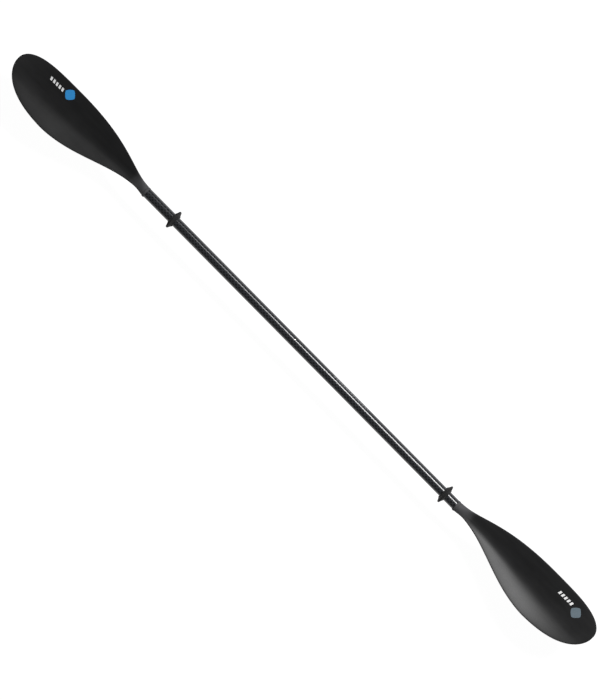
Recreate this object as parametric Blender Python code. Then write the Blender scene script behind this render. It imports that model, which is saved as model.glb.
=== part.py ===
"""Two-piece kayak paddle with spooned blades, drip rings and a push-button centre ferrule.

The shaft runs along X. The left blade is at -X, the right blade at +X, and both power faces look
towards +Z. The origin lies under the middle of the paddle, level with the lowest point of the drip
rings. Every part hangs from an empty on the shaft's axis. Lengths are in metres, angles in degrees.
"""

import math

import bmesh
import bpy
from mathutils import Matrix

# Whole paddle
TOTAL_LENGTH = 2.200
BLADE_LENGTH = 0.505  # from the lip of the neck to the tip
LIP_X = TOTAL_LENGTH / 2 - BLADE_LENGTH
GAP = 0.0003  # clearance between pieces that touch on the real paddle
ROUND_STEPS = 48

# Shaft tubes
SHAFT_R = 0.0145
BORE_R = 0.0133
SEAM_X = GAP / 2  # each tube ends this far from the middle
CUT_INNER = 0.0065  # drills reach from here
CUT_OUTER = 0.0195  # to here, measured from the axis

# Blade outline: reach of both edges from the shaft's axis
NARROW_REACH = 0.0649  # +Y edge
WIDE_REACH = 0.0823  # -Y edge
NARROW_CURVE = ((0.007, 0.0150), (0.072, 0.015), (0.124, NARROW_REACH), (0.312, NARROW_REACH))
WIDE_CURVE = ((-0.008, 0.0130), (0.116, -0.001), (0.203, WIDE_REACH), (0.341, WIDE_REACH))
TIP_SPAN = 0.200  # the outline closes over this length
TIP_ACROSS = 0.009  # the tip lies this far towards the narrow side
TIP_BLUNT = 0.0004  # the outline is cut off square this far from its point
NARROW_TIP = (4.0, 0.455)
WIDE_TIP = (2.7, 0.50)
COLLAR_FLARE = 0.0032  # the neck widens again just behind the lip, on the wide side
COLLAR_FADE = (0.004, 0.040)

# Blade sections
LIP_R = 0.0157
LIP_SHIFT = -0.0006  # the lip stands out further on the wide side
LIP_LENGTH = 0.007
LIP_EDGE = 0.0006
NECK_START = 0.0095
NECK_END = 0.105  # the back of the round neck has become a plate here
FACE_NECK = (0.012, 0.052)  # the face of the neck flattens over this stretch
NECK_R = 0.0138
PLATE_HALF = 0.0022
TIP_HALF = 0.0014
PLATE_THINS = 0.330
SPINE_END = 0.250
SPINE_POWER = 1.6
SPINE_WIDTH = 0.017
SPINE_SOFT = 0.22
FACE_SPINE = 0.10  # the spine is lower on the power face than on the back
FACE_SPINE_WIDTH = 0.010
DIP = 0.0396
DIP_SOFT = 0.06
TIP_LIFT = 0.034
LIFT_POWER = 2.6
CUP_SLOPE = 0.28  # both sides rise from the crease
CUP_STARTS = (0.005, 0.065)
CUP_FADES = 0.300
NARROW_SHARE = 0.6
TIP_CUP = 0.45
CREASE_DRIFT = 0.019  # the crease leaves the axis towards the wide side
CREASE_LEAVES = (0.055, 0.420)
CREASE_SHARP = 0.005
CREASE_SOFT = 0.024
CREASE_OPENS = (0.080, 0.360)
BLADE_STATIONS = 30
BLADE_POINTS = 36

# Spigot that plugs into the tube, and its rivet
SPIGOT_R = BORE_R - GAP
SPIGOT_LENGTH = 0.050
SPIGOT_CHAMFER = 0.0015
RIVET_X = LIP_X - 0.012
RIVET_R = 0.0023
RIVET_HEAD_R = 0.0036
RIVET_HEAD = 0.0014
RIVET_DEPTH = 0.0075  # the shank ends this far from the shaft's axis

# Centre ferrule
INSERT_R = BORE_R - GAP
INSERT_BORE_R = 0.0105
INSERT_START = -0.095
INSERT_END = 0.060
INSERT_LEAD = 0.0016  # chamfer that guides the insert into the left tube
GROOVE_X = -0.007
GROOVE_HALF = 0.0010
GROOVE_R = 0.0116
O_RING_R = 0.0125
O_RING_SECTION = 0.0006
CAP_FLANGE = 0.003
CAP_BOSS = 0.010
CAP_EDGE = 0.001

# Snap button, drawn pressed in
BUTTON_X = -0.0265
BUTTON_ANGLE = 36.0  # from +Z towards +Y
FEATHER_STEP = 75.0
HOLE_R = 0.0039
BUTTON_R = HOLE_R - GAP
BUTTON_TOP = 0.0131
BUTTON_DOME = 0.0016
BUTTON_SHOULDER = 0.0055
FLANGE_R = 0.0052
FLANGE_THICK = 0.0010
SPRING_WIDTH = 0.006
SPRING_THICK = 0.0005

# Drip rings
LEFT_RING_X = -0.491
RIGHT_RING_X = 0.554
RING_R = 0.029
RING_BORE_R = SHAFT_R + GAP
RING_HALF = 0.0080
COLLAR_R = 0.0175
RIM_HALF = 0.0030
RIM_LEAN = 0.0010
RIM_ROUND = 0.0025
FLANK_STEPS = 5

# Foam plugs
PLUG_LENGTH = 0.020
BLADE_PLUG_X = LIP_X - 0.070
FERRULE_PLUG_X = -0.125

# Decals
DECAL_THICK = 0.00025
BADGE_SIZE = 0.032
STRIPE_SIZE = (0.052, 0.011)
STRIPE_PLACE = (0.383, 0.034)
LEFT_BADGE_PLACE = (0.338, 0.0385)
RIGHT_BADGE_PLACE = (0.4285, 0.0253)

AXIS_Y = (WIDE_REACH - NARROW_REACH) / 2
AXIS_Z = RING_R


def material(name, colour, roughness, metallic=0.0):
    made = bpy.data.materials.new(name)
    made.use_nodes = True
    shader = made.node_tree.nodes["Principled BSDF"]
    shader.inputs["Base Color"].default_value = (*colour, 1.0)
    shader.inputs["Roughness"].default_value = roughness
    shader.inputs["Metallic"].default_value = metallic
    return made


def add_part(name, bm, finish, place, location=(0.0, 0.0, 0.0), turn=0.0):
    """Closes a part: faces out, smooth where it is round, hung from the shaft's axis."""
    bmesh.ops.remove_doubles(bm, verts=bm.verts, dist=1e-7)
    bmesh.ops.recalc_face_normals(bm, faces=bm.faces)
    mesh = bpy.data.meshes.new(name)
    bm.to_mesh(mesh)
    bm.free()
    mesh.shade_smooth()
    mesh.set_sharp_from_angle(angle=math.radians(35))
    mesh.materials.append(finish)
    part = bpy.data.objects.new(name, mesh)
    bpy.context.scene.collection.objects.link(part)
    part.parent = place
    part.location = location
    part.rotation_euler.x = math.radians(-turn)
    return part


def turned(profile, steps=ROUND_STEPS):
    """A closed (x, radius) outline turned about the X axis."""
    bm = bmesh.new()
    ring = [bm.verts.new((x, 0.0, r)) for x, r in profile]
    edges = [bm.edges.new((a, b)) for a, b in zip(ring, ring[1:] + ring[:1])]
    bmesh.ops.spin(
        bm, geom=ring + edges, cent=(0, 0, 0), axis=(1, 0, 0), angle=math.tau, steps=steps, use_merge=True
    )
    return bm


def capped(profile, steps=ROUND_STEPS):
    """An open (x, radius) outline turned about the X axis, with flat ends."""
    rings = [[(x, r * math.sin(a), r * math.cos(a)) for a in angles(steps)] for x, r in profile]
    return lofted(rings)


def angles(steps):
    return [math.tau * i / steps for i in range(steps)]


def lofted(rings):
    """Skins rings of points and closes both ends."""
    bm = bmesh.new()
    loops = [[bm.verts.new(p) for p in ring] for ring in rings]
    for near, far in zip(loops, loops[1:]):
        for i in range(len(near)):
            j = (i + 1) % len(near)
            bm.faces.new((near[i], near[j], far[j], far[i]))
    bm.faces.new(loops[0])
    bm.faces.new(loops[-1])
    return bm


def radial_cutter(name, x, angle, radius, inner, outer, place):
    """A hidden cylinder that stands on the shaft's axis and drills through its wall."""
    bm = bmesh.new()
    bmesh.ops.create_cone(
        bm,
        cap_ends=True,
        segments=24,
        radius1=radius,
        radius2=radius,
        depth=outer - inner,
        matrix=Matrix.Translation((0, 0, (inner + outer) / 2)),
    )
    cutter = add_part(name, bm, None, place, (x, 0, 0), angle)
    cutter.hide_render = True
    cutter.display_type = "WIRE"
    return cutter


def drill(part, cutter):
    cut = part.modifiers.new(cutter.name, "BOOLEAN")
    cut.operation = "DIFFERENCE"
    cut.solver = "EXACT"
    cut.object = cutter


def smooth(value, start, end):
    """Rises from 0 to 1 between start and end, level at both."""
    t = min(max((value - start) / (end - start), 0.0), 1.0)
    return t * t * (3.0 - 2.0 * t)


def mix(a, b, share):
    return a + (b - a) * share


def bezier(points, t):
    a, b, c, d = points
    s = 1.0 - t
    return [
        s**3 * p + 3 * s * s * t * q + 3 * s * t * t * r + t**3 * w for p, q, r, w in zip(a, b, c, d)
    ]


def curve_reach(points, along):
    """Height of an edge curve at one distance from the lip."""
    low, high = 0.0, 1.0
    for _ in range(40):
        middle = (low + high) / 2
        if bezier(points, middle)[0] < along:
            low = middle
        else:
            high = middle
    return bezier(points, low)[1]


def edge_reach(along, curve, tip, tip_across):
    """Distance of one edge from the shaft's axis."""
    reach = curve_reach(curve, along)
    left = (BLADE_LENGTH - along + TIP_BLUNT) / TIP_SPAN
    if left >= 1.0:
        return reach
    power, root = tip
    return mix(tip_across, reach, (1.0 - (1.0 - left) ** power) ** root)


def outline(along):
    """Y of the wide edge and of the narrow edge."""
    narrow = edge_reach(along, NARROW_CURVE, NARROW_TIP, TIP_ACROSS)
    wide = edge_reach(along, WIDE_CURVE, WIDE_TIP, -TIP_ACROSS)
    flare = COLLAR_FLARE * (1.0 - smooth(along, *COLLAR_FADE))
    return -wide - flare, narrow


def crease(along):
    """Y of the line from which both sides of the blade rise."""
    return -CREASE_DRIFT * smooth(along, *CREASE_LEAVES)


def middle_height(along, across):
    """The spooned and cupped surface half way through the blade."""
    u = along / BLADE_LENGTH
    line = TIP_LIFT * u**LIFT_POWER - DIP * u * u * (1.0 - u) / (u + DIP_SOFT)
    fade = 1.0 - (1.0 - TIP_CUP) * smooth(along, CUP_FADES, BLADE_LENGTH)
    slope = CUP_SLOPE * smooth(along, *CUP_STARTS) * fade
    soft = mix(CREASE_SHARP, CREASE_SOFT, smooth(along, *CREASE_OPENS))
    away = across - crease(along)
    rise = slope * (math.hypot(away, soft) - soft)
    return line + rise * (1.0 if away < 0 else NARROW_SHARE)


def spine(along, across, plate, width):
    """The ridge that carries the neck into the plate, above a plate of this thickness."""
    crest = PLATE_HALF + (NECK_R - PLATE_HALF) * max(0.0, 1.0 - along / SPINE_END) ** SPINE_POWER
    away = math.hypot((across - crease(along)) / width, SPINE_SOFT) - SPINE_SOFT
    return max(0.0, crest - plate) * max(0.0, 1.0 - away) ** SPINE_POWER


def face_height(along, across, side):
    """Z of the power face (side 1) or of the back (side -1)."""
    low, high = outline(along)
    centred = (2 * across - low - high) / (high - low)
    start, end = FACE_NECK if side > 0 else (0.0, NECK_END)
    flat_share = smooth(along, start, end)
    plate = mix(NECK_R, mix(PLATE_HALF, TIP_HALF, smooth(along, PLATE_THINS, BLADE_LENGTH)), flat_share)
    edge = math.sqrt(max(0.0, 1.0 - centred * centred)) ** mix(1.0, 0.4, flat_share)
    if side > 0:
        ridge = FACE_SPINE * spine(along, across, plate, FACE_SPINE_WIDTH)
    else:
        ridge = spine(along, across, plate, SPINE_WIDTH)
    return middle_height(along, across) + side * (plate + ridge) * edge


def blade_ring(along, hand):
    """One closed section of the blade."""
    low, high = outline(along)
    ring = []
    for a in angles(BLADE_POINTS):
        across = (low + high) / 2 + (high - low) / 2 * math.cos(a)
        side = 1 if math.sin(a) >= 0 else -1
        ring.append((hand * along, across, face_height(along, across, side)))
    return ring


def round_ring(along, radius, hand, shift=0.0):
    """A circle about the shaft's axis, or about a line shifted from it along Y."""
    return [(hand * along, shift + radius * math.cos(a), radius * math.sin(a)) for a in angles(BLADE_POINTS)]


def blade_mesh(hand):
    """Spigot, lip, neck and spooned plate in one piece; hand is -1 for the left blade."""
    rings = [
        round_ring(-SPIGOT_LENGTH, SPIGOT_R - SPIGOT_CHAMFER, hand),
        round_ring(-SPIGOT_LENGTH + SPIGOT_CHAMFER, SPIGOT_R, hand),
        round_ring(0.0, SPIGOT_R, hand),
        round_ring(0.0, LIP_R - LIP_EDGE, hand, LIP_SHIFT),
        round_ring(LIP_EDGE, LIP_R, hand, LIP_SHIFT),
        round_ring(LIP_LENGTH, LIP_R, hand, LIP_SHIFT),
    ]
    span = BLADE_LENGTH - NECK_START
    for i in range(BLADE_STATIONS + 1):
        share = (1.0 - math.cos(math.pi * i / BLADE_STATIONS)) / 2
        rings.append(blade_ring(NECK_START + span * share, hand))
    return lofted(rings)


def add_blade(hand, side_name, finish, steel, place):
    """A blade with the rivet that holds its spigot in the tube."""
    blade = add_part(f"{side_name}_blade", blade_mesh(hand), finish, place, (hand * LIP_X, 0, 0))
    x = hand * RIVET_X
    hole = radial_cutter(
        f"{side_name}_rivet_hole", x, 180.0, RIVET_R + GAP, RIVET_DEPTH - GAP, CUT_OUTER, place
    )
    drill(blade, hole)
    head = SHAFT_R + GAP
    profile = [
        (RIVET_DEPTH, RIVET_R),
        (head, RIVET_R),
        (head, RIVET_HEAD_R),
        (head + RIVET_HEAD * 0.6, RIVET_HEAD_R * 0.9),
        (head + RIVET_HEAD, RIVET_HEAD_R * 0.5),
    ]
    add_part(f"{side_name}_blade_rivet", upright(profile, 20), steel, place, (x, 0, 0), 180.0)
    return hole


def upright(profile, steps):
    """An open (height, radius) outline turned about the Z axis, with flat ends."""
    return lofted([[(r * math.cos(a), r * math.sin(a), z) for a in angles(steps)] for z, r in profile])


def add_tube(name, start, end, finish, place, cutters):
    length = end - start
    profile = [(0, SHAFT_R), (length, SHAFT_R), (length, BORE_R), (0, BORE_R)]
    tube = add_part(name, turned(profile), finish, place, (start, 0, 0))
    for cutter in cutters:
        drill(tube, cutter)


def add_insert(finish, place):
    """Sleeve with an O-ring groove and a hole for the button."""
    groove = (GROOVE_X - GROOVE_HALF, GROOVE_X + GROOVE_HALF)
    profile = [
        (INSERT_START, INSERT_R - INSERT_LEAD / 2),
        (INSERT_START + INSERT_LEAD, INSERT_R),
        (groove[0], INSERT_R),
        (groove[0], GROOVE_R),
        (groove[1], GROOVE_R),
        (groove[1], INSERT_R),
        (INSERT_END, INSERT_R),
        (INSERT_END, INSERT_BORE_R),
        (INSERT_START, INSERT_BORE_R),
    ]
    insert = add_part("ferrule_insert", turned(profile), finish, place)
    drill(
        insert,
        radial_cutter("insert_hole", BUTTON_X, BUTTON_ANGLE, HOLE_R, CUT_INNER, SHAFT_R, place),
    )


def add_end_cap(finish, place):
    boss = INSERT_BORE_R - GAP
    face = INSERT_START - GAP
    profile = [
        (face - CAP_FLANGE, INSERT_R - CAP_EDGE),
        (face - CAP_FLANGE + CAP_EDGE, INSERT_R),
        (face, INSERT_R),
        (face, boss),
        (face + CAP_BOSS, boss),
    ]
    add_part("ferrule_end_cap", capped(profile, 32), finish, place)


def add_o_ring(finish, place):
    profile = [
        (GROOVE_X + O_RING_SECTION * math.cos(a), O_RING_R + O_RING_SECTION * math.sin(a))
        for a in angles(8)
    ]
    add_part("ferrule_o_ring", turned(profile, 40), finish, place)


def add_button(steel, place):
    """Domed pin with a flange that keeps it inside the insert."""
    dome_steps = 4
    profile = [
        (BUTTON_SHOULDER - FLANGE_THICK, FLANGE_R),
        (BUTTON_SHOULDER, FLANGE_R),
        (BUTTON_SHOULDER, BUTTON_R),
    ]
    for i in range(dome_steps):
        a = math.pi / 2 * i / dome_steps
        rise = BUTTON_DOME * math.sin(a)
        profile.append((BUTTON_TOP - BUTTON_DOME + rise, BUTTON_R * math.cos(a)))
    profile.append((BUTTON_TOP, BUTTON_R * 0.1))
    add_part("snap_button", upright(profile, 24), steel, place, (BUTTON_X, 0, 0), BUTTON_ANGLE)


def spring_line():
    """Middle line of the leaf spring, as (x, height) from the button's axis."""
    floor = -0.0097
    top = BUTTON_SHOULDER - FLANGE_THICK - GAP - SPRING_THICK / 2
    bend_x, bend_r = 0.030, 0.0033
    line = [(-0.012, floor), (bend_x, floor)]
    steps = 8
    for i in range(1, steps):
        a = math.pi * i / steps
        line.append((bend_x + bend_r * math.sin(a), floor + bend_r * (1.0 - math.cos(a))))
    line += [(bend_x, floor + 2 * bend_r), (0.004, top), (-0.006, top)]
    return line


def add_spring(steel, place):
    """A strip bent into a V that rests on the insert's wall and lifts the button."""
    line = spring_line()
    half = SPRING_THICK / 2
    sides = []
    for i, (x, z) in enumerate(line):
        x0, z0 = line[max(i - 1, 0)]
        x1, z1 = line[min(i + 1, len(line) - 1)]
        length = math.hypot(x1 - x0, z1 - z0)
        nx, nz = -(z1 - z0) / length * half, (x1 - x0) / length * half
        sides.append(((x + nx, z + nz), (x - nx, z - nz)))
    w = SPRING_WIDTH / 2
    rings = [[(a[0], -w, a[1]), (a[0], w, a[1]), (b[0], w, b[1]), (b[0], -w, b[1])] for a, b in sides]
    add_part("button_spring", lofted(rings), steel, place, (BUTTON_X, 0, 0), BUTTON_ANGLE)


def rim_arc(lean):
    """The rounded top of the rim."""
    steps = 4
    arc = []
    for i in range(1, steps):
        a = math.pi * i / steps
        x = lean - RIM_HALF * math.cos(a)
        arc.append((x, RING_R - RIM_ROUND + RIM_ROUND * math.sin(a)))
    return arc


def add_drip_ring(name, x, hand, finish, place):
    """Turned ring whose rounded rim leans a little towards the blade."""
    lean = hand * RIM_LEAN
    profile = [(RING_HALF, RING_BORE_R), (-RING_HALF, RING_BORE_R)]
    for side in (-1, 1):
        flank = []
        for i in range(FLANK_STEPS + 1):
            t = i / FLANK_STEPS
            foot = side * RING_HALF
            rim = lean + side * RIM_HALF
            flank.append((mix(foot, rim, t**0.85), mix(COLLAR_R, RING_R - RIM_ROUND, t**1.2)))
        profile += flank if side < 0 else rim_arc(lean) + flank[::-1]
    add_part(name, turned(profile, 40), finish, place, (x, 0, 0))


def add_plug(name, centre, finish, place):
    half = PLUG_LENGTH / 2
    edge = 0.001
    profile = [
        (-half, SPIGOT_R - edge),
        (-half + edge, SPIGOT_R),
        (half - edge, SPIGOT_R),
        (half, SPIGOT_R - edge),
    ]
    add_part(name, capped(profile, 24), finish, place, (centre, 0, 0))


def add_decal(name, hand, centre, outline_points, finish, place):
    """A thin film that follows the power face."""
    along, across = centre
    shares = (1.0, 0.55, 0.12)
    rings = []
    for lift, order in ((GAP, shares[::-1]), (GAP + DECAL_THICK, shares)):
        for share in order:
            ring = []
            for dx, dy in outline_points:
                place_along = along + dx * share
                place_across = across + dy * share
                height = face_height(place_along, place_across, 1) + lift
                ring.append((hand * place_along, place_across, height))
            rings.append(ring)
    add_part(name, lofted(rings), finish, place, (hand * LIP_X, 0, 0))


def badge_outline():
    """A rounded lozenge."""
    half = BADGE_SIZE / 2
    points = []
    for a in angles(24):
        reach = half / (abs(math.cos(a)) ** 1.35 + abs(math.sin(a)) ** 1.35) ** (1 / 1.35)
        points.append((reach * math.cos(a), reach * math.sin(a)))
    return points


def stripe_outline():
    """A bar with round ends."""
    length, width = STRIPE_SIZE
    r = width / 2
    points = []
    for centre, start in ((length / 2 - r, -90), (-length / 2 + r, 90)):
        for i in range(7):
            a = math.radians(start + 30 * i)
            points.append((centre + r * math.cos(a), r * math.sin(a)))
    return points


def build():
    for old in list(bpy.data.objects):
        bpy.data.objects.remove(old)
    axis = bpy.data.objects.new("shaft_axis", None)
    axis.location = (0.0, AXIS_Y, AXIS_Z)
    bpy.context.scene.collection.objects.link(axis)

    nylon = material("black_nylon", (0.020, 0.021, 0.023), 0.45)
    shaft = material("black_fibreglass", (0.016, 0.017, 0.018), 0.25)
    sleeve = material("dark_fibreglass", (0.030, 0.030, 0.032), 0.40)
    rubber = material("black_rubber", (0.022, 0.022, 0.022), 0.75)
    steel = material("stainless_steel", (0.62, 0.61, 0.59), 0.25, 1.0)
    plastic = material("grey_plastic", (0.10, 0.10, 0.11), 0.50)
    foam = material("grey_foam", (0.22, 0.22, 0.23), 0.90)
    white = material("white_film", (0.80, 0.80, 0.80), 0.45)
    blue = material("blue_film", (0.03, 0.16, 0.45), 0.45)
    slate = material("slate_film", (0.20, 0.30, 0.36), 0.45)

    rivet_holes = {}
    for hand, side_name in ((-1, "left"), (1, "right")):
        rivet_holes[side_name] = add_blade(hand, side_name, nylon, steel, axis)
    button_holes = []
    for step in (-1, 0, 1):
        angle = BUTTON_ANGLE + step * FEATHER_STEP
        button_holes.append(
            radial_cutter(f"button_hole_{step + 2}", BUTTON_X, angle, HOLE_R, CUT_INNER, CUT_OUTER, axis)
        )
    add_tube("left_shaft_tube", -LIP_X + GAP, -SEAM_X, shaft, axis, [rivet_holes["left"]] + button_holes)
    add_tube("right_shaft_tube", SEAM_X, LIP_X - GAP, shaft, axis, [rivet_holes["right"]])

    add_insert(sleeve, axis)
    add_end_cap(plastic, axis)
    add_o_ring(rubber, axis)
    add_button(steel, axis)
    add_spring(steel, axis)
    add_drip_ring("left_drip_ring", LEFT_RING_X, -1, rubber, axis)
    add_drip_ring("right_drip_ring", RIGHT_RING_X, 1, rubber, axis)
    add_plug("left_float_plug", -BLADE_PLUG_X, foam, axis)
    add_plug("right_float_plug", BLADE_PLUG_X, foam, axis)
    add_plug("ferrule_float_plug", FERRULE_PLUG_X, foam, axis)

    add_decal("left_blade_stripe", -1, STRIPE_PLACE, stripe_outline(), white, axis)
    add_decal("left_blade_badge", -1, LEFT_BADGE_PLACE, badge_outline(), blue, axis)
    add_decal("right_blade_stripe", 1, STRIPE_PLACE, stripe_outline(), white, axis)
    add_decal("right_blade_badge", 1, RIGHT_BADGE_PLACE, badge_outline(), slate, axis)


build()
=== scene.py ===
# %% [markdown]
# # A two-piece kayak paddle
# The paddle is two black fibreglass half shafts with a moulded blade on each. A spring button in the
# middle locks them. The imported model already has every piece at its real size, so this script gives
# each visible piece a finer mesh in the same place, and each surface a finish. Lengths are in metres.

# %% Load the frame
import functools
import math

import bmesh
import bpy
from mathutils import Matrix, Vector


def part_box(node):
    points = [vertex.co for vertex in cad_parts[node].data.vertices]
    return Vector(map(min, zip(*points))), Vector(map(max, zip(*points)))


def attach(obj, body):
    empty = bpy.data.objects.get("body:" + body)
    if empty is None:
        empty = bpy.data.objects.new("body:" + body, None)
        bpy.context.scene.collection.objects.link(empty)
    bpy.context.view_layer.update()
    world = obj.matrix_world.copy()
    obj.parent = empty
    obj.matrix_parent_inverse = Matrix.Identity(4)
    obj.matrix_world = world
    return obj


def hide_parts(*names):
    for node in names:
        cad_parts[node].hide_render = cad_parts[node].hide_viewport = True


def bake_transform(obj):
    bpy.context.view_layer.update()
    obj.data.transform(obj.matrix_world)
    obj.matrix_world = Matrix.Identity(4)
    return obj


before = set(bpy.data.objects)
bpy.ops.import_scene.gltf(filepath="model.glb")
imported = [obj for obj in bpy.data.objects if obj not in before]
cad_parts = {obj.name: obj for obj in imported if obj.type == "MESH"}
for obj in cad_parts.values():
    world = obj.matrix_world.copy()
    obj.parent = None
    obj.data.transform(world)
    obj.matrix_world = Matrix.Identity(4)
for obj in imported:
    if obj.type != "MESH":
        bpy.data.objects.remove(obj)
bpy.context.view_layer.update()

MM = 0.001

# %% [markdown]
# ## Where things are
# The frame says where every part lies. Both half shafts run along X, so the box of a tube gives the
# shaft's axis, its radius and the place where the blade's neck starts.

# %% Read the shaft's place
tube_low, tube_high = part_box("right_shaft_tube")
AXIS = Vector((0.0, (tube_low[1] + tube_high[1]) / 2, (tube_low[2] + tube_high[2]) / 2))
SHAFT_R = (tube_high[2] - tube_low[2]) / 2
GAP = 0.3 * MM  # between pieces that touch on the real paddle
LIP_X = tube_high[0] + GAP
BLADE_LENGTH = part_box("right_blade")[1][0] - LIP_X
print(f"shaft {SHAFT_R / MM * 2:.1f} mm thick, blades {BLADE_LENGTH / MM:.0f} mm long")

# %% [markdown]
# ## Making meshes
# Round parts can be made with a Screw modifier, a spin or a loft. A loft is used here for all of
# them: a list of rings of points, each ring joined to the next. It also makes the blades, which no
# turning could give. Smooth shading hides the facets, and edges over 35 degrees stay crisp.

# %% Loft and finish a mesh
CRISP_ANGLE = math.radians(35)


def circle(steps):
    """Angles evenly spaced round a full turn."""
    return [math.tau * i / steps for i in range(steps)]


def mix(a, b, share):
    """The value that lies this share of the way from a to b."""
    return a + (b - a) * share


def smooth(value, start, end):
    """Rises from 0 to 1 between start and end, level at both."""
    t = min(max((value - start) / (end - start), 0.0), 1.0)
    return t * t * (3.0 - 2.0 * t)


def loft(bm, rings, closed=False):
    """Skins rings of points. A closed loft joins its last ring to its first, others get lids."""
    loops = [[bm.verts.new(p) for p in ring] for ring in rings]
    pairs = list(zip(loops, loops[1:]))
    if closed:
        pairs.append((loops[-1], loops[0]))
    else:
        bm.faces.new(loops[0])
        bm.faces.new(loops[-1])
    for near, far in pairs:
        for i in range(len(near)):
            j = (i + 1) % len(near)
            bm.faces.new((near[i], near[j], far[j], far[i]))


def finish_piece(name, bm, finish, body, node):
    """Turns a bmesh in shaft coordinates into a piece that rides on a body and replaces a node."""
    bmesh.ops.recalc_face_normals(bm, faces=bm.faces)
    mesh = bpy.data.meshes.new(name)
    bm.to_mesh(mesh)
    bm.free()
    mesh.transform(Matrix.Translation(AXIS))
    mesh.shade_smooth()
    mesh.set_sharp_from_angle(angle=CRISP_ANGLE)
    mesh.materials.append(finish)
    piece = bpy.data.objects.new(name, mesh)
    bpy.context.scene.collection.objects.link(piece)
    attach(piece, body)
    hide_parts(node)
    print(f"{name}: {len(mesh.vertices)} points")
    return piece


# %% [markdown]
# ## Adding shader nodes
# A material is a small graph. One helper adds a node, sets its properties and sockets, and links
# any socket whose value is another node's output. Colours are written as sRGB hex, as on a paint
# card, and turned into the linear values that a renderer works with.

# %% Shader helpers
def linear(hex_colour):
    """An sRGB colour such as "1a1b1d" as a linear RGBA tuple."""
    parts = [int(hex_colour[i : i + 2], 16) / 255 for i in (0, 2, 4)]
    rgb = [c / 12.92 if c <= 0.04045 else ((c + 0.055) / 1.055) ** 2.4 for c in parts]
    return (*rgb, 1.0)


def add(tree, kind, settings=None, sockets=None, stops=()):
    """Adds one node: settings are properties, sockets are values or links, stops are a ramp's."""
    made = tree.nodes.new(kind)
    for key, value in (settings or {}).items():
        setattr(made, key, value)
    for key, value in (sockets or {}).items():
        if isinstance(value, bpy.types.NodeSocket):
            tree.links.new(value, made.inputs[key])
        else:
            made.inputs[key].default_value = value
    for i, (place, colour) in enumerate(stops):
        made.color_ramp.elements[i].position = place
        made.color_ramp.elements[i].color = linear(colour)
    return made


def start_material(name, **values):
    """A Principled material with its constant values set on the shader itself."""
    made = bpy.data.materials.new(name)
    made.use_nodes = True
    shader = made.node_tree.nodes["Principled BSDF"]
    for key, value in values.items():
        shader.inputs[key.replace("_", " ")].default_value = value
    return made, made.node_tree, shader


def two_tones(dark, light, span=(0.35, 0.65)):
    """Stops that blend two tones of one material. Most of a noise lies in the usual span."""
    return tuple(zip(span, (dark, light)))


def grain(tree, size, detail=2.0, stretch=(1.0, 1.0, 1.0)):
    """A noise whose blobs are about size metres across. A stretch under 1 draws them out."""
    place = add(tree, "ShaderNodeTexCoord").outputs["Object"]
    drawn_out = add(tree, "ShaderNodeMapping", sockets={"Vector": place, "Scale": stretch})
    noise = add(
        tree,
        "ShaderNodeTexNoise",
        sockets={
            "Vector": drawn_out.outputs["Vector"],
            "Scale": 1 / size,
            "Detail": detail,
            "Roughness": 0.55,
        },
    )
    return noise.outputs["Fac"]


# %% [markdown]
# ## Glass-filled nylon, moulded
# Touring blades are injection moulded in nylon stiffened with short glass fibres. The steel mould
# is spark eroded, which leaves a fine even grain, so the black looks satin and grey where a light
# is mirrored softly. The fibres follow the flow of the melt and leave faint streaks along the
# blade. Nylon's IOR is 1.53, and the fine pits trap some of the mirrored light, so the specular
# level is a little under the default. The grain is 0.4 mm on the real one, and is drawn at 1.6 mm
# with a shallow height, so that it shows at this distance. Hands and the rack scuff the neck's
# collar, which is greyer and duller than the rest and fades into it.

# %% Blade nylon
STREAK_WIDTH = 14 * MM
STREAK_STRETCH = (0.12, 1.0, 1.0)
STREAK_DEPTH = 0.10 * MM
SPARK_GRAIN = 1.6 * MM
SPARK_DEPTH = 0.05 * MM
GLOSS_PATCH = 60 * MM
COLLAR_LENGTH = 46 * MM
COLLAR_SOFT = 18 * MM
COLLAR_ROUGHNESS = 0.75


def collar_mask(tree):
    """1 on the neck's collar, up to COLLAR_LENGTH from the lip, on either blade."""
    place = add(tree, "ShaderNodeTexCoord").outputs["Object"]
    axes = add(tree, "ShaderNodeSeparateXYZ", sockets={"Vector": place})
    away = add(tree, "ShaderNodeMath", {"operation": "ABSOLUTE"}, {0: axes.outputs["X"]})
    edge = LIP_X + COLLAR_LENGTH
    fall = add(
        tree,
        "ShaderNodeMapRange",
        {"interpolation_type": "SMOOTHSTEP"},
        {
            "Value": away.outputs["Value"],
            "From Min": edge - COLLAR_SOFT,
            "From Max": edge + COLLAR_SOFT,
            "To Min": 1.0,
            "To Max": 0.0,
        },
    )
    return fall.outputs["Result"]


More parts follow.
